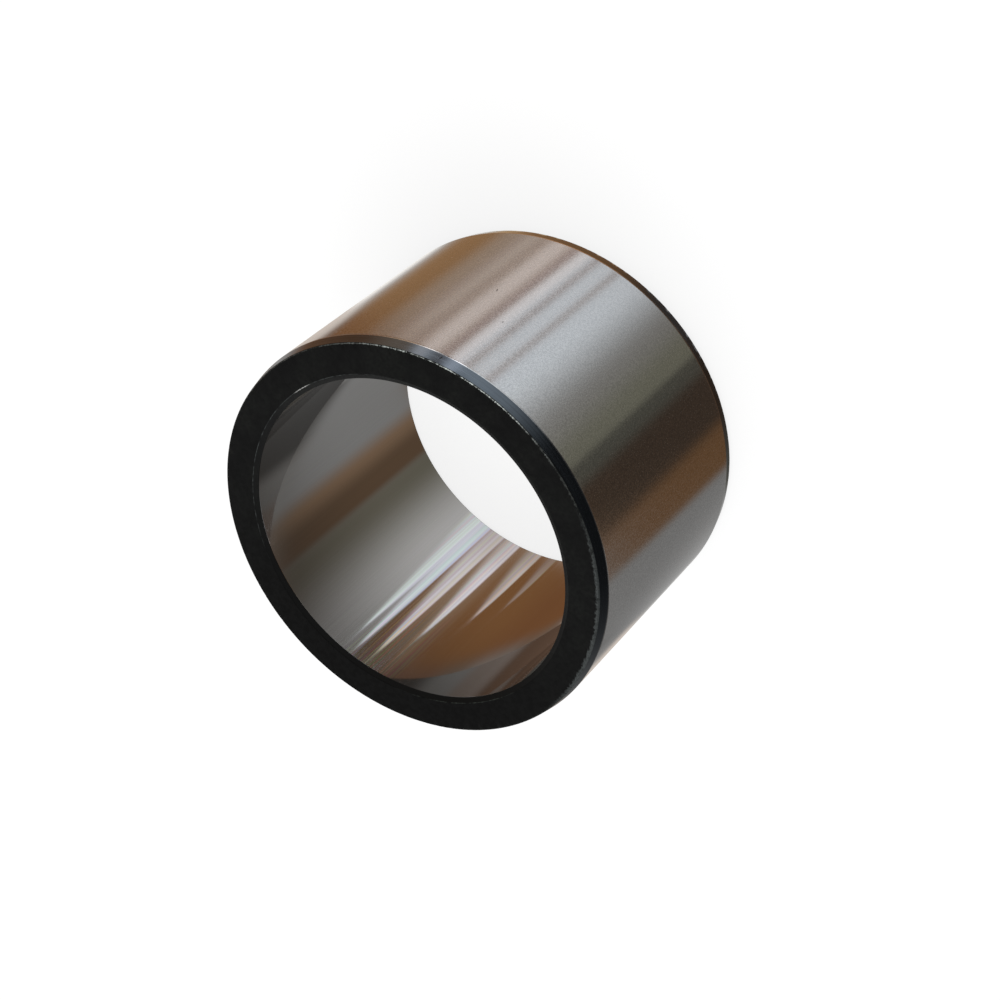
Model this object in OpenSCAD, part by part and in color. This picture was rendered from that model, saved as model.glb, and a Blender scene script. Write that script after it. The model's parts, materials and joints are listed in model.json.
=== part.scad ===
// Plain hardened steel sleeve bushing, turned in one piece.
// It is pressed into a bored eye by its outside and carries a pin in its bore.
// The sleeve stands on one end face, with its axis along +Z and both ends alike.

/* [Sleeve] */
// Bore diameter, the running fit on the pin
bore_d = 65; // [20:0.5:150]
// Wall between the bore and the ground outside
wall = 7.5; // [4:0.1:20]
// Length over both end faces
sleeve_len = 52.5; // [12:0.5:160]

/* [Press-in leads] */
// Axial length of the tapered lead at each end of the outside
lead_len = 2.6; // [0.5:0.1:5]
// Slope of the lead, measured from the axis
lead_angle = 12; // [5:1:40]

/* [Bore mouths] */
// Radial width of the chamfer round each mouth of the bore
mouth_w = 1; // [0.2:0.1:4]
// Slope of that chamfer, measured from the end face
mouth_angle = 25; // [10:5:60]

/* [Corners] */
// Flat that takes the sharpness off the corner of each end face and its lead
corner_break = 0.2; // [0.05:0.05:0.4]

/* [Hidden] */

bore_r = bore_d / 2;
// Radius of the ground outside, the press fit in the eye
outer_r = bore_r + wall;

// How far the lead and the mouth chamfer fall away from the surfaces they cut
lead_drop = lead_len * tan(lead_angle);
mouth_depth = mouth_w * tan(mouth_angle);

// Outer and inner edge of the flat end face
face_outer_r = outer_r - lead_drop - corner_break;
face_inner_r = bore_r + mouth_w;

// Radius where the corner flat runs out on the slope of the lead
break_r = outer_r - lead_drop + corner_break * tan(lead_angle);

// Facets for the preview of a full turn
turn_fn = 240;

// One end of the section as [radius, height above its end face], from the bore outwards
end_profile = [
    [bore_r, mouth_depth],
    [face_inner_r, 0],
    [face_outer_r, 0],
    [break_r, corner_break],
    [outer_r, lead_len]
];

// The other end is the same profile turned over, listed from the outside inwards
far_profile = [
    for (i = [len(end_profile) - 1 : -1 : 0])
        [end_profile[i][0], sleeve_len - end_profile[i][1]]
];

// Half section through the wall, bore side on the left
module wall_section() {
    polygon(concat(end_profile, far_profile));
}

// The whole sleeve, revolved from its section so that bore and outside stay true cylinders
module bushing() {
    color("silver")
        rotate_extrude($fn = turn_fn)
            wall_section();
}

bushing();
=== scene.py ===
# Ground steel sleeve bushing, standing on its lower end face.
# Everything is in metres in the CAD frame: +Z runs up the axis and z = 0 is the floor.
import json
from math import cos, radians, sin, tan

import bpy
import numpy as np
from mathutils import Matrix, Vector


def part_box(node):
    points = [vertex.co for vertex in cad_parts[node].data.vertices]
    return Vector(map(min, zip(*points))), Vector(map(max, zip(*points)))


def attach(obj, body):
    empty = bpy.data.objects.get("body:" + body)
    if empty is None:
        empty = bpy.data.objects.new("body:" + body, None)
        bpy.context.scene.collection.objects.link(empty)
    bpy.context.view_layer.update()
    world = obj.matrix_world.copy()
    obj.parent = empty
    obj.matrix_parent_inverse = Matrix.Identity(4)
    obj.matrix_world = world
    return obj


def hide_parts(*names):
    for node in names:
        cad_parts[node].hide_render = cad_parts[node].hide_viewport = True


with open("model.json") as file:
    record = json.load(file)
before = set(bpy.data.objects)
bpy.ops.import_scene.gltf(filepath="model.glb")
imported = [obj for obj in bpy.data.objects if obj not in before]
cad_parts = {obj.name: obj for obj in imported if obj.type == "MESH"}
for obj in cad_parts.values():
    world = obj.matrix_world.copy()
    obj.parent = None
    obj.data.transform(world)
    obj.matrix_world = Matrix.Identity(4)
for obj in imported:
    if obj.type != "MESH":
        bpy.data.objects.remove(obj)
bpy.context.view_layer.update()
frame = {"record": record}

mm = 0.001


# Sizes of the sleeve. What the CAD model states is read from it, the rest is set here.
mounts = {m["name"]: m["dims"] for m in frame["record"]["mounts"]}
low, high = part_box("bushing")

sleeve = dict(
    length=high.z - low.z,
    outerRadius=high.x - 0.015 * mm,          # a hair inside the CAD cylinder
    boreRadius=mounts["bore"]["r_mm"] * mm,
    boreLength=mounts["bore"]["length_mm"] * mm,
    groundLength=mounts["outside"]["length_mm"] * mm,
    leadAngle=12,                             # degrees from the axis
    mouthWidth=1.0 * mm,
    cornerBreak=0.2 * mm,
    setbacks=(0.08, 0.12, 0.05, 0.05, 0.18),  # mm, rounding of each corner, from the bore outwards
    rowGap=0.03 * mm,                         # how far even rows keep off the roundings
    turns=1200,                               # columns round the axis
    # chips of the corner: depth, how sharply they set in, and the share of it that goes each way
    chips=dict(depth=0.04 * mm, sharpness=2.5, share=0.7),
    # the most chipped part of the upper end, in degrees, and how much deeper it is
    battered=dict(centre=215, reach=28, more=1.2),
)


# Number of the point at a row and column of the grid.
def gridPoint(row, column):
    return row * sleeve["turns"] + column


# A corner rounded off between two straight runs.
# Point at t: corner + setback * ((1 - t)^2 * towards previous + t^2 * towards following),
# which is a quadratic curve that starts and ends tangent to the two runs.
def roundedCorner(previous, corner, following, setback, steps):
    t = np.linspace(0, 1, steps)[:, None]
    back = (previous - corner) / np.linalg.norm(previous - corner)
    ahead = (following - corner) / np.linalg.norm(following - corner)
    return corner + setback * ((1 - t) ** 2 * back + t ** 2 * ahead)


# A straight run between two corners, in even rows that start and end a small gap off the rounded
# corners, so that the shading stays flat right up to each corner.
def straightRun(start, end, setbacks, rows):
    along = end - start
    length = np.linalg.norm(along)
    gap = sleeve["rowGap"]
    reach = np.linspace(setbacks[0] + gap, length - setbacks[1] - gap, rows)
    return start + reach[:, None] * along / length


# Half section as [radius, height] rows with a zone name each, in one closed loop:
# up the bore, over the upper end, down the outside and back under the lower end.
def sectionLoop():
    s = sleeve
    drop = (s["length"] - s["groundLength"]) / 2
    lean = tan(radians(s["leadAngle"]))
    breakRadius = s["outerRadius"] - drop * lean + s["cornerBreak"] * lean
    mouthDepth = (s["length"] - s["boreLength"]) / 2
    upper = np.array([
        [s["boreRadius"], s["length"] - mouthDepth],
        [s["boreRadius"] + s["mouthWidth"], s["length"]],
        [breakRadius - s["cornerBreak"] * (1 + lean), s["length"]],
        [breakRadius, s["length"] - s["cornerBreak"]],
        [s["outerRadius"], s["length"] - drop],
    ])
    lower = upper[::-1] * [1, -1] + [0, s["length"]]
    corners = np.concatenate([upper, lower])
    setbacks = np.array(s["setbacks"] + s["setbacks"][::-1]) * mm
    rounded = ["mouth", "face", "corner", "corner", "outside"]
    rounded += rounded[::-1]
    # rows and zone of the run that follows each corner
    runs = [(3, "mouth"), (5, "face"), (3, "corner"), (4, "lead"), (6, "outside"),
            (4, "lead"), (3, "corner"), (5, "face"), (3, "mouth"), (6, "bore")]
    rows, zones = [], []
    for i, (count, zone) in enumerate(runs):
        corner, following = corners[i], corners[(i + 1) % 10]
        rows.append(roundedCorner(corners[i - 1], corner, following, setbacks[i], 4))
        zones += [rounded[i]] * 3 + [zone]
        rows.append(straightRun(corner, following, (setbacks[i], setbacks[(i + 1) % 10]), count))
        zones += [zone] * count
    return np.concatenate(rows), zones


# Smooth noise in -1..1 over the angle, as a sum of sines with falling amplitude:
# sum of sin(k * angle + phase) / k^0.5, with seeded phases, so it closes on itself.
def waviness(angle, lowest, highest, seed):
    draw = np.random.default_rng(seed)
    k = np.arange(lowest, highest)
    phase = draw.uniform(0, 2 * np.pi, len(k))
    wave = (np.sin(np.multiply.outer(angle, k) + phase) / k ** 0.5).sum(-1)
    return wave / np.abs(wave).max()


# The sleeve: section point (r, z) turned to (r cos a, r sin a, z) for every angle a of the grid.
# The corner break is chipped inwards where two waves of noise meet, by
# depth * limit(sharpness * wave * wave) * (1 + more * exp(-((angle - centre) / reach)^2)).
# The limit keeps it in 0..1, and the last factor is for the upper end only.
def makeSleeve():
    s = sleeve
    section, zones = sectionLoop()
    angle = np.linspace(0, 2 * np.pi, s["turns"], endpoint=False)
    radius = np.repeat(section[:, :1], len(angle), axis=1)
    height = np.repeat(section[:, 1:], len(angle), axis=1)
    chips, battered = s["chips"], s["battered"]
    turn = (angle - np.radians(battered["centre"])) / np.radians(battered["reach"])
    deeper = battered["more"] * np.exp(-turn ** 2)
    for upper in (True, False):
        rows = [i for i, zone in enumerate(zones)
                if zone == "corner" and (section[i, 1] > s["length"] / 2) == upper]
        wave = waviness(angle, 60, 400, 7 + upper) * waviness(angle, 3, 40, 11 + upper)
        depth = chips["depth"] * np.clip(wave * chips["sharpness"], 0, 1) * (1 + deeper * upper)
        radius[rows] -= depth * chips["share"]
        height[rows] -= depth * (chips["share"] if upper else -chips["share"])
    points = np.stack([radius * np.cos(angle), radius * np.sin(angle), height], -1).reshape(-1, 3)
    row, column = np.meshgrid(np.arange(len(section)), np.arange(len(angle)), indexing="ij")
    nextRow, nextColumn = (row + 1) % len(section), (column + 1) % len(angle)
    quads = np.stack([gridPoint(row, column), gridPoint(row, nextColumn),
                      gridPoint(nextRow, nextColumn), gridPoint(nextRow, column)], -1).reshape(-1, 4)
    mesh = bpy.data.meshes.new("sleeve")
    mesh.from_pydata(points, [], quads)
    order = ["outside", "bore", "lead", "face", "mouth", "corner"]
    slots = np.repeat([order.index(zone) for zone in zones], len(angle))
    mesh.polygons.foreach_set("material_index", slots.astype(np.int32))
    mesh.polygons.foreach_set("use_smooth", np.ones(len(quads), bool))
    for zone in order:
        mesh.materials.append(finishes[zone])
    mesh.update()
    piece = bpy.data.objects.new("sleeve", mesh)
    bpy.context.scene.collection.objects.link(piece)
    return piece


# Short way to put a node down and wire it: keyword names are socket names with _ for a space.
def put(tree, kind, settings=None, **inputs):
    node = tree.nodes.new(kind)
    for name, value in (settings or {}).items():
        setattr(node, name, value)
    for name, value in inputs.items():
        wire(tree, node.inputs[name.replace("_", " ")], value)
    return node


def wire(tree, socket, value):
    if isinstance(value, bpy.types.NodeSocket):
        tree.links.new(value, socket)
    else:
        socket.default_value = value


def maths(tree, operation, *values, clamp=False):
    node = tree.nodes.new("ShaderNodeMath")
    node.operation = operation
    node.use_clamp = clamp
    for socket, value in zip(node.inputs, values):
        wire(tree, socket, value)
    return node.outputs[0]


def blendColour(tree, share, first, second):
    node = tree.nodes.new("ShaderNodeMix")
    node.data_type = "RGBA"
    wire(tree, node.inputs[0], share)
    wire(tree, node.inputs[6], first)
    wire(tree, node.inputs[7], second)
    return node.outputs[2]


# 1 for camera, mirror and glass rays, 0 for the rays that bring light to dull surfaces.
def directRays(tree, path):
    mirrored = maths(tree, "MAXIMUM", path["Is Glossy Ray"], path["Is Transmission Ray"])
    return maths(tree, "MAXIMUM", path["Is Camera Ray"], mirrored)


# Smoothstep from start at low to end at high.
def ramp(tree, value, low, high, start=0.0, end=1.0):
    node = tree.nodes.new("ShaderNodeMapRange")
    node.interpolation_type = "SMOOTHSTEP"
    for name, v in (("Value", value), ("From Min", low), ("From Max", high),
                    ("To Min", start), ("To Max", end)):
        wire(tree, node.inputs[name], v)
    return node.outputs["Result"]


def newGroup(name, inputs, outputs):
    group = bpy.data.node_groups.new(name, "ShaderNodeTree")
    for direction, sockets in (("INPUT", inputs), ("OUTPUT", outputs)):
        for socketName, kind in sockets.items():
            group.interface.new_socket(socketName, in_out=direction, socket_type="NodeSocket" + kind)
    return group, group.nodes.new("NodeGroupInput").outputs, group.nodes.new("NodeGroupOutput").inputs


def useGroup(tree, group, **inputs):
    node = put(tree, "ShaderNodeGroup", dict(node_tree=group), **inputs)
    return node.outputs


# Studio surround that the steel mirrors: rows of soft-edged cards, one row above the other.
# A card's mask is a fade of |azimuth - centre - lean * (elevation + 48)| past its half width.
def buildCard():
    group, given, made = newGroup("surroundCard", dict(
        Azimuth="Float", Elevation="Float", Centre="Float", Half="Float", Soft="Float", Lean="Float"),
        dict(Mask="Float"))
    leaned = maths(group, "MULTIPLY", maths(group, "ADD", given["Elevation"], 48.0), given["Lean"])
    apart = maths(group, "SUBTRACT", maths(group, "SUBTRACT", given["Azimuth"], given["Centre"]), leaned)
    apart = maths(group, "ABSOLUTE", maths(group, "WRAP", apart, 180.0, -180.0))
    inner = maths(group, "SUBTRACT", given["Half"], given["Soft"])
    outer = maths(group, "ADD", given["Half"], given["Soft"])
    wire(group, made["Mask"], ramp(group, apart, inner, outer, 1.0, 0.0))
    return group


# One window bar, seen as a spike: both edges run together at the tip.
# With share s = (tip - elevation) / (tip - foot), the right edge stands at
# right - 2.4 * (1 - s)^3, the width is width * s^power, and the light falls off to the left,
# at the very tip, and by 0.28 towards the foot.
def buildBar():
    group, given, made = newGroup("windowBar", dict(
        Azimuth="Float", Elevation="Float", Right="Float", Width="Float", Power="Float", Tip="Float",
        Foot="Float", Fall="Float"), dict(Mask="Float"))
    rise = maths(group, "SUBTRACT", given["Tip"], given["Elevation"])
    share = maths(group, "DIVIDE", rise, maths(group, "SUBTRACT", given["Tip"], given["Foot"]), clamp=True)
    width = maths(group, "MULTIPLY", maths(group, "POWER", share, given["Power"]), given["Width"])
    bend = maths(group, "MULTIPLY", maths(group, "POWER", maths(group, "SUBTRACT", 1.0, share), 3.0), 2.4)
    inside = maths(group, "SUBTRACT", maths(group, "SUBTRACT", given["Right"], bend), given["Azimuth"])
    right = ramp(group, inside, -0.9, 0.6)
    soft = maths(group, "ADD", maths(group, "MULTIPLY", width, 0.3), 0.3)
    left = ramp(group, inside, maths(group, "SUBTRACT", width, soft), maths(group, "ADD", width, soft),
                1.0, 0.0)
    across = maths(group, "DIVIDE", inside, maths(group, "ADD", width, 0.5), clamp=True)
    level = maths(group, "SUBTRACT", 1.0, maths(group, "MULTIPLY", across, given["Fall"]))
    ends = maths(group, "MULTIPLY", ramp(group, share, 0.0, 0.06), ramp(group, share, 0.7, 1.0, 1.0, 0.72))
    edges = maths(group, "MULTIPLY", right, left)
    wire(group, made["Mask"], maths(group, "MULTIPLY", maths(group, "MULTIPLY", edges, level), ends))
    return group


def grey(level):
    return (level, level, level)


# Azimuth, elevation and widths in degrees, colours as light. Each row reaches up to top and
# melts into the next over blend. Cards lie from back to front.
surround = dict(
    rows=[
        dict(name="nadir", top=-79, blend=2, base=grey(0.42), cards=[
            dict(name="softShade", centre=-60, half=70, soft=60, colour=grey(0.2)),
        ]),
        dict(name="under", top=-56, blend=2.5, base=(0.085, 0.052, 0.034), cards=[
            dict(name="coolSide", centre=128, half=26, soft=18, colour=(0.12, 0.12, 0.105)),
            dict(name="warmFloor", centre=22, half=66, soft=46, colour=(0.48, 0.245, 0.11)),
            dict(name="glow", centre=76, half=22, soft=18, colour=(1.0, 0.72, 0.40)),
        ]),
        dict(name="floor", top=-47.3, blend=0.4, base=grey(0.232), cards=[
            dict(name="paleSide", centre=62, half=56, soft=37, colour=grey(0.46), lean=-4),
            dict(name="warmWall", centre=5, half=55, soft=10, colour=(0.40, 0.305, 0.235)),
            dict(name="brownPanel", centre=36.5, half=14.5, soft=8, colour=(0.335, 0.19, 0.092)),
            dict(name="rimGlow", centre=84, half=19, soft=9, colour=(1.07, 1.04, 1.0)),
            dict(name="warmShade", centre=-167, half=19, soft=4.5, colour=(0.155, 0.082, 0.038), lean=1),
            dict(name="darkShade", centre=-135, half=26, soft=6, colour=(0.050, 0.036, 0.027)),
            dict(name="greenShade", centre=-118, half=11, soft=4, colour=(0.078, 0.078, 0.066)),
            dict(name="olivePost", centre=-100, half=18.5, soft=1.5, colour=(0.185, 0.185, 0.145)),
            dict(name="paleWall", centre=-80, half=22, soft=10, colour=(0.262, 0.26, 0.25)),
            dict(name="window", centre=-51, half=28.5, soft=16, colour=(0.78, 0.84, 0.91)),
            dict(name="gapA", centre=-53.9, half=1.9, soft=1.9, colour=(0.47, 0.44, 0.44)),
            dict(name="gapB", centre=-40.4, half=2.0, soft=2.0, colour=(0.44, 0.40, 0.40)),
            dict(name="paleBar", centre=-32, half=3.4, soft=1.5, colour=(0.96, 0.95, 0.98)),
            dict(name="pinkWall", centre=-10, half=19, soft=2, colour=(0.45, 0.36, 0.31)),
            dict(name="gapC", centre=-26, half=1.8, soft=1.8, colour=(0.42, 0.33, 0.32)),
            dict(name="pinkBar", centre=-16.4, half=5.6, soft=3.2, colour=(0.78, 0.69, 0.65)),
            dict(name="warmBar", centre=0.5, half=3, soft=2.5, colour=(0.57, 0.48, 0.42)),
        ]),
        dict(name="bench", top=-41.0, blend=0.3, base=grey(0.26), shade=(-45.5, -40.0, 0.1), cards=[
            dict(name="warmShade", centre=-149.5, half=11, soft=7.5, colour=(0.235, 0.155, 0.10)),
            dict(name="darkShade", centre=-137, half=11.5, soft=7.5, colour=(0.125, 0.08, 0.05)),
            dict(name="olivePost", centre=-105, half=24, soft=4, colour=(0.155, 0.145, 0.115)),
            dict(name="paleStep", centre=-72, half=27, soft=24, colour=grey(0.575)),
            dict(name="brownFloor", centre=-7, half=51.5, soft=1, colour=(0.25, 0.118, 0.048)),
            dict(name="warmGlow", centre=-44, half=14, soft=8, colour=(0.35, 0.23, 0.15)),
            dict(name="brownCorner", centre=32, half=22, soft=14, colour=(0.215, 0.095, 0.04)),
            dict(name="rimGlow", centre=85, half=32, soft=6, colour=(0.70, 0.62, 0.56)),
        ]),
        dict(name="wall", top=-14, blend=8, base=grey(0.03), cards=[
            dict(name="greySide", centre=112, half=46, soft=40, colour=grey(0.17)),
            dict(name="window", centre=-45, half=34, soft=24, colour=(0.88, 0.94, 1.0)),
            dict(name="barA", centre=-42, half=3, soft=1.5, colour=(1.8, 1.85, 2.0)),
            dict(name="gap", centre=-35, half=3.5, soft=2, colour=(0.36, 0.32, 0.32)),
            dict(name="barB", centre=-25.5, half=3, soft=1.5, colour=(1.7, 1.6, 1.6)),
            dict(name="warmWall", centre=14, half=35, soft=3, colour=(0.55, 0.40, 0.29)),
            dict(name="brownPanel", centre=25, half=28, soft=10, colour=(0.29, 0.15, 0.083)),
            dict(name="paleCorner", centre=70, half=20, soft=12, colour=(0.6, 0.58, 0.56)),
        ]),
        dict(name="upper", base=grey(0.45), cards=[
            dict(name="lightWall", centre=-60, half=50, soft=40, colour=grey(0.85)),
            dict(name="sideWall", centre=120, half=40, soft=35, colour=grey(0.7)),
            dict(name="warmCorner", centre=30, half=30, soft=25, colour=(0.42, 0.38, 0.33)),
            dict(name="darkCorner", centre=-150, half=28, soft=24, colour=grey(0.2)),
        ]),
    ],
    bars=[
        dict(right=-65.0, width=13, power=0.9, tip=-42.2, foot=-47.3, fall=0.2, colour=(0.91, 0.98, 1.07)),
        dict(right=-58.3, width=11, power=0.8, tip=-41.8, foot=-47.0, fall=0.08, colour=(0.88, 0.93, 1.0)),
        dict(right=-46.8, width=13.2, power=0.85, tip=-42.1, foot=-46.4, fall=0.36,
             colour=(0.94, 0.89, 0.93)),
        dict(right=-33.9, width=11.5, power=0.8, tip=-43.25, foot=-46.3, fall=0.42, colour=(1.05, 1.03, 1.1)),
        dict(right=-16.6, width=12, power=0.8, tip=-44.5, foot=-46.7, fall=0.7, colour=(0.86, 0.81, 0.78)),
        dict(right=-4.6, width=7, power=0.8, tip=-45.3, foot=-46.9, fall=0.6, colour=(0.46, 0.37, 0.32)),
    ],
    shadeColour=(0.034, 0.026, 0.021),
    fill=grey(0.5),              # light on the floor
    # What the bore shows of itself, where light has met the steel twice
    twice=dict(base=grey(0.105), cards=[
        dict(name="middle", centre=-82, half=30, soft=16, colour=grey(0.32)),
        dict(name="pinkSide", centre=-43, half=26, soft=12, colour=(0.31, 0.26, 0.235)),
        dict(name="brownSide", centre=11, half=35, soft=14, colour=(0.175, 0.108, 0.075)),
    ]),
    # Where the light just clears the far opening, and what the surround fades into there
    farEdge=dict(apart=46.0, slope=0.0655, bend=-0.000215, level=-45.6, fade=(-0.85, 0.4),
                 start=(-8.0, -1.0)),
    edge=dict(base=(0.12, 0.10, 0.085), cards=[
        dict(name="darkSide", centre=144, half=24, soft=8, colour=(0.082, 0.079, 0.075)),
        dict(name="greySide", centre=-176, half=17, soft=9, colour=(0.168, 0.164, 0.158)),
        dict(name="warmSide", centre=-22, half=16, soft=8, colour=(0.115, 0.07, 0.053)),
        dict(name="paleSide", centre=21, half=12, soft=8, colour=(0.205, 0.185, 0.17)),
        dict(name="warmEnd", centre=44, half=12, soft=6, colour=(0.19, 0.14, 0.108)),
    ]),
)


# Cards of one row, laid over its base colour from back to front.
def layCards(tree, card, azimuth, elevation, row):
    colour = (*row["base"], 1)
    for c in row["cards"]:
        mask = useGroup(tree, card, Azimuth=azimuth, Elevation=elevation, Centre=float(c["centre"]),
                        Half=float(c["half"]), Soft=float(c["soft"]), Lean=float(c.get("lean", 0)))["Mask"]
        colour = blendColour(tree, mask, colour, (*c["colour"], 1))
    return colour


# Fine streaks across a bar, a little different in each colour: 1 + swing * (noise - 0.5) over
# the azimuth, where each channel reads the noise a little further on.
def streakyLight(tree, azimuth):
    channels = []
    for i, swing in enumerate((1.4, 1.3, 1.5)):
        at = put(tree, "ShaderNodeCombineXYZ", X=azimuth, Y=0.45 * i)
        noise = put(tree, "ShaderNodeTexNoise", Vector=at.outputs[0], Scale=0.6, Detail=3.0, Roughness=0.75)
        channels.append(maths(tree, "MULTIPLY_ADD", noise.outputs[0], swing, 1 - swing / 2))
    return put(tree, "ShaderNodeCombineXYZ", X=channels[0], Y=channels[1], Z=channels[2]).outputs[0]


# Soft edge between the surround and what the bore shows of itself. The light that just clears
# the far opening comes from edge = v * (slope + bend * v) + level, where
# v = |azimuth - 90| - apart, all in degrees, and the fade lies round that edge.
# It starts where v is near 0, since the bore shows nothing below that.
def softEdge(tree, azimuth, elevation):
    f = surround["farEdge"]
    apart = maths(tree, "WRAP", maths(tree, "SUBTRACT", azimuth, 90.0), 180.0, -180.0)
    v = maths(tree, "SUBTRACT", maths(tree, "ABSOLUTE", apart), f["apart"])
    slope = maths(tree, "MULTIPLY_ADD", v, f["bend"], f["slope"])
    edge = maths(tree, "MULTIPLY_ADD", v, slope, f["level"])
    fade = ramp(tree, maths(tree, "SUBTRACT", elevation, edge), *f["fade"])
    return maths(tree, "MULTIPLY", fade, ramp(tree, v, *f["start"]))


# The row that the bore mirrors: its cards, dimmed towards the top, with the window bars in front.
# Where light has met the steel twice it gives the bore's own picture instead, and short of that
# the row fades along the soft edge.
def benchLight(tree, card, azimuth, elevation, row, bounces):
    lowest, highest, least = row["shade"]
    shade = (*surround["shadeColour"], 1)
    dim = ramp(tree, elevation, lowest, highest, 0.0, 1 - least)
    colour = blendColour(tree, dim, layCards(tree, card, azimuth, elevation, row), shade)
    bar = buildBar()
    shimmer = streakyLight(tree, azimuth)
    for b in surround["bars"]:
        numbers = {k.title(): float(b[k]) for k in b if k != "colour"}
        mask = useGroup(tree, bar, Azimuth=azimuth, Elevation=elevation, **numbers)["Mask"]
        light = put(tree, "ShaderNodeVectorMath", dict(operation="MULTIPLY"))
        light.inputs[0].default_value = b["colour"]
        wire(tree, light.inputs[1], shimmer)
        colour = blendColour(tree, mask, colour, light.outputs[0])
    fading = layCards(tree, card, azimuth, elevation, surround["edge"])
    colour = blendColour(tree, softEdge(tree, azimuth, elevation), colour, fading)
    again = blendColour(tree, dim, layCards(tree, card, azimuth, elevation, surround["twice"]), shade)
    return blendColour(tree, maths(tree, "GREATER_THAN", bounces, 2.5), colour, again)


# The world: the camera sees it white, the steel sees the surround, and it lights the rest evenly.
def dressWorld():
    world = bpy.data.worlds.new("studio")
    bpy.context.scene.world = world
    world.use_nodes = True
    world.cycles.sampling_method = "NONE"    # each ray type then finds its own side of the surround
    tree = world.node_tree
    tree.nodes.clear()
    path = put(tree, "ShaderNodeLightPath").outputs
    direction = put(tree, "ShaderNodeTexCoord").outputs["Generated"]
    x, y, z = put(tree, "ShaderNodeSeparateXYZ", Vector=direction).outputs
    azimuth = maths(tree, "DEGREES", maths(tree, "ARCTAN2", y, x))
    elevation = maths(tree, "DEGREES", maths(tree, "ARCSINE", z))
    card = buildCard()
    surroundColour, below = None, None
    for row in surround["rows"]:
        if row["name"] == "bench":
            colour = benchLight(tree, card, azimuth, elevation, row, path["Ray Depth"])
        else:
            colour = layCards(tree, card, azimuth, elevation, row)
        if below is None:
            surroundColour = colour
        else:
            share = ramp(tree, elevation, below["top"] - below["blend"], below["top"] + below["blend"])
            surroundColour = blendColour(tree, share, surroundColour, colour)
        below = row
    backdrop = blendColour(tree, path["Is Glossy Ray"], (1, 1, 1, 1), surroundColour)
    shown = directRays(tree, path)
    seen = blendColour(tree, shown, (*surround["fill"], 1), backdrop)
    light = put(tree, "ShaderNodeBackground", Color=seen, Strength=1.0)
    put(tree, "ShaderNodeOutputWorld", Surface=light.outputs[0])


def newMaterial(name):
    material = bpy.data.materials.new(name)
    material.use_nodes = True
    tree = material.node_tree
    shader = tree.nodes["Principled BSDF"]
    point = put(tree, "ShaderNodeTexCoord").outputs["Object"]
    return material, tree, shader, point


# Fine satin speckle: two octaves of smooth noise, stretched to fill 0..1.
def buildSatin():
    group, given, made = newGroup("satinSpeckle", dict(Vector="Vector", Scale="Float"), dict(Value="Float"))
    noise = put(group, "ShaderNodeTexNoise", Vector=given["Vector"], Scale=given["Scale"], Detail=2.0,
                Roughness=0.6)
    wire(group, made["Value"], ramp(group, noise.outputs[0], 0.32, 0.68))
    return group


# Where a point lies round the axis: its way out as a unit vector, its azimuth in degrees,
# its radius and height in mm.
def buildAround():
    group, given, made = newGroup("aroundAxis", dict(Vector="Vector"), dict(
        Way="Vector", Angle="Float", Radius="Float", Height="Float"))
    x, y, z = put(group, "ShaderNodeSeparateXYZ", Vector=given["Vector"]).outputs
    square = maths(group, "ADD", maths(group, "MULTIPLY", x, x), maths(group, "MULTIPLY", y, y))
    r = maths(group, "SQRT", square)
    way = put(group, "ShaderNodeCombineXYZ", X=maths(group, "DIVIDE", x, r), Y=maths(group, "DIVIDE", y, r))
    wire(group, made["Way"], way.outputs[0])
    wire(group, made["Angle"], maths(group, "DEGREES", maths(group, "ARCTAN2", y, x)))
    wire(group, made["Radius"], maths(group, "MULTIPLY", r, 1000.0))
    wire(group, made["Height"], maths(group, "MULTIPLY", z, 1000.0))
    return group


# Noise drawn out round the axis or along it. It reads way * Around + (0, 0, along * Along + Seed),
# which has no seam: a small Around gives turning marks, a large one streaks along the axis.
def buildMarks():
    group, given, made = newGroup("drawnMarks", dict(
        Way="Vector", Section="Float", Around="Float", Along="Float", Seed="Float"), dict(Value="Float"))
    x, y, z = put(group, "ShaderNodeSeparateXYZ", Vector=given["Way"]).outputs
    far = maths(group, "ADD", maths(group, "MULTIPLY", given["Section"], given["Along"]), given["Seed"])
    point = put(group, "ShaderNodeCombineXYZ", X=maths(group, "MULTIPLY", x, given["Around"]),
                Y=maths(group, "MULTIPLY", y, given["Around"]), Z=far)
    noise = put(group, "ShaderNodeTexNoise", Vector=point.outputs[0], Scale=1.0, Detail=3.0, Roughness=0.65)
    wire(group, made["Value"], ramp(group, noise.outputs[0], 0.32, 0.68))
    return group


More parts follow.
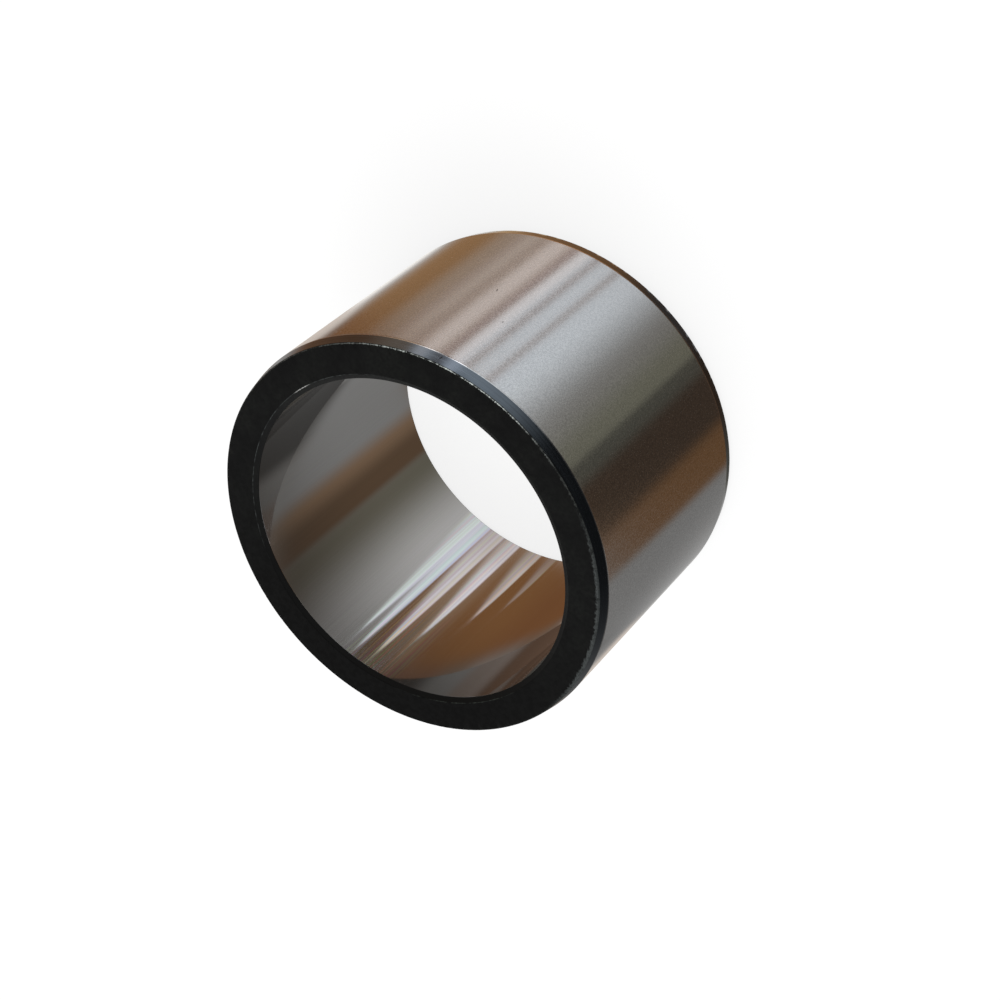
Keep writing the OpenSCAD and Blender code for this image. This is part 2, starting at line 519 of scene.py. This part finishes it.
# Worn edge: full at the edge, ragged inwards, only within a sector of the turn and broken up.
# reach = width * (0.35 + 1.3 * noise), mask = sector * fade(distance / reach) * gaps * grit
def buildWear():
    group, given, made = newGroup("edgeWear", dict(
        Vector="Vector", Way="Vector", Angle="Float", Distance="Float", Centre="Float", Half="Float",
        Soft="Float", Width="Float", Grain="Float", Gaps="Float", Grit="Float", Seed="Float"),
        dict(Mask="Float"))
    turn = maths(group, "WRAP", maths(group, "SUBTRACT", given["Angle"], given["Centre"]), 180.0, -180.0)
    turn = maths(group, "ABSOLUTE", turn)
    sector = ramp(group, turn, maths(group, "SUBTRACT", given["Half"], given["Soft"]),
                  maths(group, "ADD", given["Half"], given["Soft"]), 1.0, 0.0)
    same = dict(Way=given["Way"], Section=given["Distance"], Along=1.2)
    noise = useGroup(group, marks, Around=given["Grain"], Seed=given["Seed"], **same)["Value"]
    reach = maths(group, "MULTIPLY", maths(group, "MULTIPLY_ADD", noise, 1.3, 0.35), given["Width"])
    share = maths(group, "DIVIDE", maths(group, "ABSOLUTE", given["Distance"]), reach)
    near = ramp(group, share, 0.35, 1.15, 1.0, 0.0)
    coarse = useGroup(group, marks, Around=maths(group, "MULTIPLY", given["Grain"], 0.45),
                      Seed=maths(group, "ADD", given["Seed"], 31.0), **same)["Value"]
    held = ramp(group, coarse, maths(group, "SUBTRACT", given["Gaps"], 0.4),
                maths(group, "ADD", given["Gaps"], 0.4))
    fine = useGroup(group, satin, Vector=given["Vector"], Scale=2800.0)["Value"]
    grit = ramp(group, fine, 0.2, 0.7, maths(group, "SUBTRACT", 1.0, given["Grit"]), 1.0)
    whole = maths(group, "MULTIPLY", sector, near)
    wire(group, made["Mask"], maths(group, "MULTIPLY", whole, maths(group, "MULTIPLY", held, grit)))
    return group


# One small mark at a given azimuth and height: an ellipse that leans by slant.
def buildMark():
    group, given, made = newGroup("smallMark", dict(
        Angle="Float", Height="Float", AtAngle="Float", AtHeight="Float", Across="Float", Tall="Float",
        Slant="Float"), dict(Mask="Float"))
    up = maths(group, "SUBTRACT", given["Height"], given["AtHeight"])
    side = maths(group, "SUBTRACT", given["Angle"], given["AtAngle"])
    side = maths(group, "SUBTRACT", side, maths(group, "MULTIPLY", up, given["Slant"]))
    side = maths(group, "POWER", maths(group, "DIVIDE", side, given["Across"]), 2.0)
    up = maths(group, "POWER", maths(group, "DIVIDE", up, given["Tall"]), 2.0)
    wire(group, made["Mask"], ramp(group, maths(group, "ADD", side, up), 0.4, 1.2, 1.0, 0.0))
    return group


# Base of the black faces: mottled oxide, darkest towards one side of the turn.
# share = patches * (0.2 + 0.6 * fine), then a fade over |angle - DarkSide| from 25 to 110 degrees.
def buildMottle():
    group, given, made = newGroup("mottledBlack", dict(
        Vector="Vector", Angle="Float", DarkSide="Float", Dull="Color", Pale="Color", Deep="Color"),
        dict(Color="Color"))
    patches = useGroup(group, satin, Vector=given["Vector"], Scale=170.0)["Value"]
    fine = useGroup(group, satin, Vector=given["Vector"], Scale=1500.0)["Value"]
    mixed = maths(group, "MULTIPLY", patches, maths(group, "MULTIPLY_ADD", fine, 0.6, 0.2))
    turn = maths(group, "WRAP", maths(group, "SUBTRACT", given["Angle"], given["DarkSide"]), 180.0, -180.0)
    lit = ramp(group, maths(group, "ABSOLUTE", turn), 25.0, 110.0)
    colour = blendColour(group, mixed, given["Dull"], given["Pale"])
    wire(group, made["Color"], blendColour(group, lit, given["Deep"], colour))
    return group


satin = buildSatin()
around = buildAround()
marks = buildMarks()
wear = buildWear()
smallMark = buildMark()
mottle = buildMottle()


# Colour * (1 - spread) where value is 0, up to colour * (1 + spread) where it is 1.
def tinted(tree, colour, value, spread):
    dark = tuple(c * (1 - spread) for c in colour)
    light = tuple(c * (1 + spread) for c in colour)
    return blendColour(tree, value, (*dark, 1), (*light, 1))


# Grinding runs round the axis, so the light spreads across it, along the axis.
def brushRoundAxis(tree, shader, anisotropy):
    shader.inputs["Anisotropic"].default_value = anisotropy
    shader.inputs["Anisotropic Rotation"].default_value = 0.25
    tangent = put(tree, "ShaderNodeTangent", dict(direction_type="RADIAL", axis="Z"))
    wire(tree, shader.inputs["Tangent"], tangent.outputs[0])


# Fine relief: a bump that follows height, which runs from 0 to 1, and is distance metres deep.
def roughened(tree, shader, height, distance):
    bump = put(tree, "ShaderNodeBump", Height=height, Distance=distance, Strength=1.0)
    wire(tree, shader.inputs["Normal"], bump.outputs[0])


ground = dict(
    colour=(0.60, 0.59, 0.575),
    roughness=(0.11, 0.15),
    anisotropy=0.3,
    speckleScale=3500.0,         # per metre
    speckle=0.15,                # share of the base colour
    grain=0.00000095,            # metres
    pits=dict(scale=70.0, size=(0.008, 0.014), dark=0.55, colour=(0.05, 0.045, 0.04)),
    markColour=(0.02, 0.018, 0.016),
    # azimuth and height of the small marks, half sizes in degrees and mm
    smallMarks=[
        dict(angle=-54.7, height=25.3, across=0.22, tall=0.55, slant=-0.5, dark=0.65),
        dict(angle=-63.6, height=33.8, across=0.2, tall=0.3, slant=0.0, dark=0.55),
    ],
)


# Lays small dark marks over a colour.
def darkened(tree, colour, place, marksList):
    for m in marksList:
        mask = useGroup(tree, smallMark, Angle=place["Angle"], Height=place["Height"], AtAngle=m["angle"],
                        AtHeight=m["height"], Across=m["across"], Tall=m["tall"], Slant=m["slant"])["Mask"]
        share = maths(tree, "MULTIPLY", mask, m["dark"])
        colour = blendColour(tree, share, colour, (*ground["markColour"], 1))
    return colour


def groundOutside():
    material, tree, shader, point = newMaterial("groundOutside")
    s = ground
    place = useGroup(tree, around, Vector=point)
    speckle = useGroup(tree, satin, Vector=point, Scale=s["speckleScale"])["Value"]
    colour = tinted(tree, s["colour"], speckle, s["speckle"])
    pits = s["pits"]
    cells = put(tree, "ShaderNodeTexVoronoi", Vector=point, Scale=pits["scale"])
    pit = ramp(tree, cells.outputs["Distance"], *pits["size"], pits["dark"], 0.0)
    colour = blendColour(tree, pit, colour, (*pits["colour"], 1))
    wire(tree, shader.inputs["Base Color"], darkened(tree, colour, place, s["smallMarks"]))
    shader.inputs["Metallic"].default_value = 1
    wire(tree, shader.inputs["Roughness"], ramp(tree, speckle, 0.0, 1.0, *s["roughness"]))
    roughened(tree, shader, speckle, s["grain"])
    brushRoundAxis(tree, shader, s["anisotropy"])
    return material


polished = dict(
    colour=(0.60, 0.59, 0.575),
    roughness=(0.032, 0.05),
    anisotropy=0.4,
    # spread: share of the base colour, over most of the bore and over its marked part
    streaks=dict(around=190.0, along=0.04, spread=(0.022, 0.09)),
    film=dict(around=240.0, along=0.03, spread=(0.012, 0.24)),     # faint interference tint
    marked=dict(centre=113.5, half=9.5, soft=3.5, height=(18.0, 44.0)),
    # stands in for light that would meet the wall more often than the renderer follows it
    lost=dict(depth=3.5, colour=(0.045, 0.042, 0.038)),
)


# Bore: fine streaks along the axis, each colour channel drawn from its own noise as well. They
# are stronger over the marked part: sector = fade(|angle - centre| past half) * ramp(height).
def polishedBore():
    material, tree, shader, point = newMaterial("polishedBore")
    s = polished
    place = useGroup(tree, around, Vector=point)
    line = dict(Way=place["Way"], Section=place["Height"])
    part = s["marked"]
    turn = maths(tree, "ABSOLUTE", maths(tree, "SUBTRACT", place["Angle"], part["centre"]))
    sector = ramp(tree, turn, part["half"] - part["soft"], part["half"] + part["soft"], 1.0, 0.0)
    sector = maths(tree, "MULTIPLY", sector, ramp(tree, place["Height"], *part["height"]))
    streak = useGroup(tree, marks, Around=s["streaks"]["around"], Along=s["streaks"]["along"], Seed=5.0,
                      **line)["Value"]
    swing = ramp(tree, sector, 0.0, 1.0, *s["streaks"]["spread"])
    share = maths(tree, "MULTIPLY_ADD", maths(tree, "MULTIPLY_ADD", streak, 2.0, -1.0), swing, 1.0)
    swing = ramp(tree, sector, 0.0, 1.0, *s["film"]["spread"])
    channels = []
    for i, level in enumerate(s["colour"]):
        film = useGroup(tree, marks, Around=s["film"]["around"], Along=s["film"]["along"],
                        Seed=40.0 + 17 * i, **line)["Value"]
        shift = maths(tree, "MULTIPLY_ADD", maths(tree, "MULTIPLY_ADD", film, 2.0, -1.0), swing, 1.0)
        channels.append(maths(tree, "MULTIPLY", maths(tree, "MULTIPLY", shift, share), level))
    colour = put(tree, "ShaderNodeCombineColor", Red=channels[0], Green=channels[1], Blue=channels[2])
    wire(tree, shader.inputs["Base Color"], colour.outputs[0])
    shader.inputs["Metallic"].default_value = 1
    wire(tree, shader.inputs["Roughness"], ramp(tree, streak, 0.0, 1.0, *s["roughness"]))
    brushRoundAxis(tree, shader, s["anisotropy"])
    depth = put(tree, "ShaderNodeLightPath").outputs["Ray Depth"]
    deep = maths(tree, "GREATER_THAN", depth, s["lost"]["depth"])
    lost = blendColour(tree, deep, (0, 0, 0, 1), (*s["lost"]["colour"], 1))
    wire(tree, shader.inputs["Emission Color"], lost)
    shader.inputs["Emission Strength"].default_value = 1
    material.cycles.emission_sampling = "NONE"
    return material


black = dict(
    lead=(0.14, 0.16, 0.18),
    leadRoughness=(0.12, 0.19),
    leadRings=0.13,              # share of the lead's colour
    leadCloud=dict(scale=260.0, share=0.25, colour=(0.10, 0.11, 0.125)),
    face=(0.0036, 0.0037, 0.0038),
    mottle=(0.0085, 0.0092, 0.0082),
    deep=(0.0012, 0.0012, 0.0012),
    darkSide=120,                # azimuth where the face is darkest
    faceGrain=dict(scale=900.0, height=0.004 * mm),
    cornerGrain=1200.0,
    # roughness and specular level of each black surface
    faceGloss=dict(roughness=(0.46, 0.60), specular=0.09),
    mouthGloss=dict(roughness=(0.36, 0.5), specular=0.14),
    cornerGloss=dict(roughness=(0.4, 0.55), specular=0.12),
    bareRoughness=0.34,          # where the metal shows
    faceEdge=39.25,              # mm, outer radius of the flat end face
    mouthEdge=33.5,              # mm, its inner radius
    smallMarks=[
        dict(angle=-60.4, height=50.9, across=0.18, tall=0.5, slant=0.35, dark=0.85),
        dict(angle=-89.7, height=50.1, across=0.3, tall=0.22, slant=0.0, dark=0.8),
    ],
)

# Bare metal along the edges of the upper end, with one brighter stretch as a painted glint, azimuths in
# degrees and widths in mm
bare = dict(
    line=dict(centre=-64, half=26, soft=16, width=0.068, grain=110, gaps=0.42, grit=0.4, seed=3,
              colour=(0.85, 0.92, 0.88)),
    faintLine=dict(centre=-14, half=28, soft=12, width=0.06, grain=90, gaps=0.45, grit=0.5, seed=37,
                   colour=(0.16, 0.17, 0.165)),
    streak=dict(centre=-110, half=20, soft=8, width=0.09, grain=80, gaps=0.5, grit=0.5, seed=9,
                colour=(0.10, 0.105, 0.10)),
    ribbon=dict(centre=-147, half=25, soft=12, width=0.42, grain=55, gaps=0.12, grit=0.45, seed=14,
                colour=(0.105, 0.115, 0.115)),
    mouthLine=dict(centre=10, half=44, soft=16, width=0.055, grain=40, gaps=0.3, grit=0.5, seed=21,
                   colour=(0.10, 0.11, 0.11)),
    # Worn bare metal on the mouth line, made brighter as a painted glint
    mouthGlint=dict(centre=-11, half=3, soft=1.5, width=0.075, grain=60, gaps=0.1, grit=0.2, seed=33,
                    colour=(0.62, 0.62, 0.6)),
    mouthFoot=dict(centre=150, half=18, soft=10, width=0.07, grain=40, gaps=0.4, grit=0.5, seed=27,
                   colour=(0.07, 0.08, 0.07)),
)


# Mask of one worn edge or of the painted glint, on the upper end only.
def wornMask(tree, point, place, distance, name):
    w = bare[name]
    numbers = {k.title(): float(w[k]) for k in w if k != "colour"}
    mask = useGroup(tree, wear, Vector=point, Way=place["Way"], Angle=place["Angle"], Distance=distance,
                    **numbers)["Mask"]
    upperEnd = maths(tree, "GREATER_THAN", place["Height"], sleeve["length"] / mm / 2)
    return maths(tree, "MULTIPLY", mask, upperEnd)


# Lays the named worn edges over a black finish: bare metal where their masks are full, and brighter
# metal for the painted glint. The black's roughness follows value between the two numbers of its gloss.
def bareEdges(tree, shader, point, place, colour, value, gloss, edges):
    metal = None
    for name, distance in edges:
        mask = wornMask(tree, point, place, distance, name)
        colour = blendColour(tree, mask, colour, (*bare[name]["colour"], 1))
        metal = mask if metal is None else maths(tree, "MAXIMUM", metal, mask)
    wire(tree, shader.inputs["Base Color"], colour)
    wire(tree, shader.inputs["Metallic"], metal)
    roughness = ramp(tree, value, 0.0, 1.0, *gloss["roughness"])
    softened = put(tree, "ShaderNodeMix", A=roughness, B=black["bareRoughness"], Factor=metal)
    wire(tree, shader.inputs["Roughness"], softened.outputs[0])
    shader.inputs["Specular IOR Level"].default_value = gloss["specular"]


# Turning marks: noise drawn out round the axis.
def turnedRings(tree, place, section, seed):
    return useGroup(tree, marks, Way=place["Way"], Section=section, Around=1.5, Along=9.0, Seed=seed)["Value"]


def blackenedLead():
    material, tree, shader, point = newMaterial("blackenedLead")
    place = useGroup(tree, around, Vector=point)
    ring = turnedRings(tree, place, place["Height"], 2.0)
    spots = black["leadCloud"]
    cloud = useGroup(tree, satin, Vector=point, Scale=spots["scale"])["Value"]
    colour = tinted(tree, black["lead"], ring, black["leadRings"])
    colour = blendColour(tree, maths(tree, "MULTIPLY", cloud, spots["share"]), colour, (*spots["colour"], 1))
    wire(tree, shader.inputs["Base Color"], darkened(tree, colour, place, black["smallMarks"]))
    shader.inputs["Metallic"].default_value = 1
    wire(tree, shader.inputs["Roughness"], ramp(tree, ring, 0.0, 1.0, *black["leadRoughness"]))
    return material


def mottledBlack(tree, point, place):
    shades = dict(Dull=(*black["face"], 1), Pale=(*black["mottle"], 1), Deep=(*black["deep"], 1))
    return useGroup(tree, mottle, Vector=point, Angle=place["Angle"], DarkSide=float(black["darkSide"]),
                    **shades)["Color"]


def blackenedFace():
    material, tree, shader, point = newMaterial("blackenedFace")
    place = useGroup(tree, around, Vector=point)
    colour = mottledBlack(tree, point, place)
    outer = maths(tree, "SUBTRACT", black["faceEdge"], place["Radius"])
    inner = maths(tree, "SUBTRACT", place["Radius"], black["mouthEdge"])
    grain = black["faceGrain"]
    fine = useGroup(tree, satin, Vector=point, Scale=grain["scale"])["Value"]
    bareEdges(tree, shader, point, place, colour, fine, black["faceGloss"], [
        ("streak", outer), ("ribbon", outer), ("mouthLine", inner), ("mouthGlint", inner),
        ("mouthFoot", inner)])
    roughened(tree, shader, fine, grain["height"])
    return material


def blackenedMouth():
    material, tree, shader, point = newMaterial("blackenedMouth")
    place = useGroup(tree, around, Vector=point)
    colour = mottledBlack(tree, point, place)
    outer = maths(tree, "SUBTRACT", black["mouthEdge"], place["Radius"])
    ring = turnedRings(tree, place, place["Radius"], 6.0)
    bareEdges(tree, shader, point, place, colour, ring, black["mouthGloss"], [
        ("mouthLine", outer), ("mouthGlint", outer), ("mouthFoot", outer)])
    return material


def wornCorner():
    material, tree, shader, point = newMaterial("wornCorner")
    place = useGroup(tree, around, Vector=point)
    colour = mottledBlack(tree, point, place)
    middle = (sleeve["length"] - sleeve["cornerBreak"] / 2) / mm
    below = maths(tree, "SUBTRACT", middle, place["Height"])
    fine = useGroup(tree, satin, Vector=point, Scale=black["cornerGrain"])["Value"]
    bareEdges(tree, shader, point, place, colour, fine, black["cornerGloss"], [
        ("line", below), ("faintLine", below), ("streak", below),
        ("ribbon", maths(tree, "MULTIPLY", below, 0.3))])
    return material


finishes = dict(
    outside=groundOutside(),
    bore=polishedBore(),
    lead=blackenedLead(),
    face=blackenedFace(),
    mouth=blackenedMouth(),
    corner=wornCorner(),
)

print("finishes made:", ", ".join(finishes))


piece = makeSleeve()
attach(piece, "root")
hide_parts("bushing")
print("sleeve made:", len(piece.data.polygons), "faces")


floorSetup = dict(
    half=1.5,
    drop=0.05 * mm,              # a hair under the sleeve, so that two faces don't share one plane
    colour=(0.25, 0.25, 0.25),
    glow=(0.82, 0.885),          # brighter far out, where the lamp reaches less
    farOut=(250.0, 1200.0),      # mm
)


# Pale floor. It isn't mirrored, so that the steel shows the surround, it keeps the shadow, and it
# is clear from below.
def makeFloor():
    s = floorSetup
    half, level = s["half"], -s["drop"]
    corners = [(-half, -half, level), (half, -half, level), (half, half, level), (-half, half, level)]
    mesh = bpy.data.meshes.new("floor")
    mesh.from_pydata(corners, [], [(0, 1, 2, 3)])
    floor = bpy.data.objects.new("floor", mesh)
    bpy.context.scene.collection.objects.link(floor)
    material = bpy.data.materials.new("paleFloor")
    material.use_nodes = True
    tree = material.node_tree
    tree.nodes.clear()
    path = put(tree, "ShaderNodeLightPath").outputs
    shown = directRays(tree, path)
    matte = put(tree, "ShaderNodeBsdfDiffuse", Color=(*s["colour"], 1))
    point = put(tree, "ShaderNodeTexCoord").outputs["Object"]
    away = useGroup(tree, around, Vector=point)["Radius"]
    strength = maths(tree, "MULTIPLY", shown, ramp(tree, away, *s["farOut"], *s["glow"]))
    glow = put(tree, "ShaderNodeEmission", Color=(1, 1, 1, 1), Strength=strength)
    both = put(tree, "ShaderNodeAddShader")
    tree.links.new(matte.outputs[0], both.inputs[0])
    tree.links.new(glow.outputs[0], both.inputs[1])
    clear = put(tree, "ShaderNodeBsdfTransparent")
    sided = put(tree, "ShaderNodeMixShader", Fac=put(tree, "ShaderNodeNewGeometry").outputs["Backfacing"])
    tree.links.new(both.outputs[0], sided.inputs[1])
    tree.links.new(clear.outputs[0], sided.inputs[2])
    put(tree, "ShaderNodeOutputMaterial", Surface=sided.outputs[0])
    material.cycles.emission_sampling = "NONE"
    mesh.materials.append(material)
    floor.visible_glossy = False


lampSetup = dict(location=(-0.35, 0.25, 1.1), size=0.9, power=7)


# One soft round lamp that points at the sleeve. It only lights the floor and the black, since the
# steel doesn't mirror it.
def makeLamp():
    lamp = bpy.data.lights.new("softbox", "AREA")
    lamp.shape = "DISK"
    lamp.size = lampSetup["size"]
    lamp.energy = lampSetup["power"]
    holder = bpy.data.objects.new("softbox", lamp)
    bpy.context.scene.collection.objects.link(holder)
    holder.location = lampSetup["location"]
    holder.rotation_mode = "QUATERNION"
    holder.rotation_quaternion = Vector(lampSetup["location"]).to_track_quat("Z", "Y")
    holder.visible_glossy = False


makeFloor()
dressWorld()
makeLamp()
print("floor, surround and lamp made")

# The photograph's own camera: where it stands, where it points, how it is rolled and its lens.
cameraSetup = dict(
    location=(0, -0.286787, 0.334636),
    heading=91.124,       # degrees from +X
    dip=47.087,           # degrees below level
    roll=132.305,         # degrees clockwise, seen from behind the camera
    lens=80.453,
)


def makeCamera():
    s = cameraSetup
    heading, dip = radians(s["heading"]), radians(s["dip"])
    forward = Vector((cos(heading) * cos(dip), sin(heading) * cos(dip), -sin(dip)))
    right = forward.cross(Vector((0, 0, 1))).normalized()
    level = Matrix((right, right.cross(forward), -forward)).transposed()
    turned = level @ Matrix.Rotation(radians(-s["roll"]), 3, "Z")
    data = bpy.data.cameras.new("camera")
    data.sensor_width = 36
    data.lens = s["lens"]
    data.clip_start = 0.01
    camera = bpy.data.objects.new("camera", data)
    bpy.context.scene.collection.objects.link(camera)
    camera.matrix_world = Matrix.Translation(s["location"]) @ turned.to_4x4()
    bpy.context.scene.camera = camera


makeCamera()
print("camera made")
bpy.context.scene.view_settings.view_transform = "Standard"
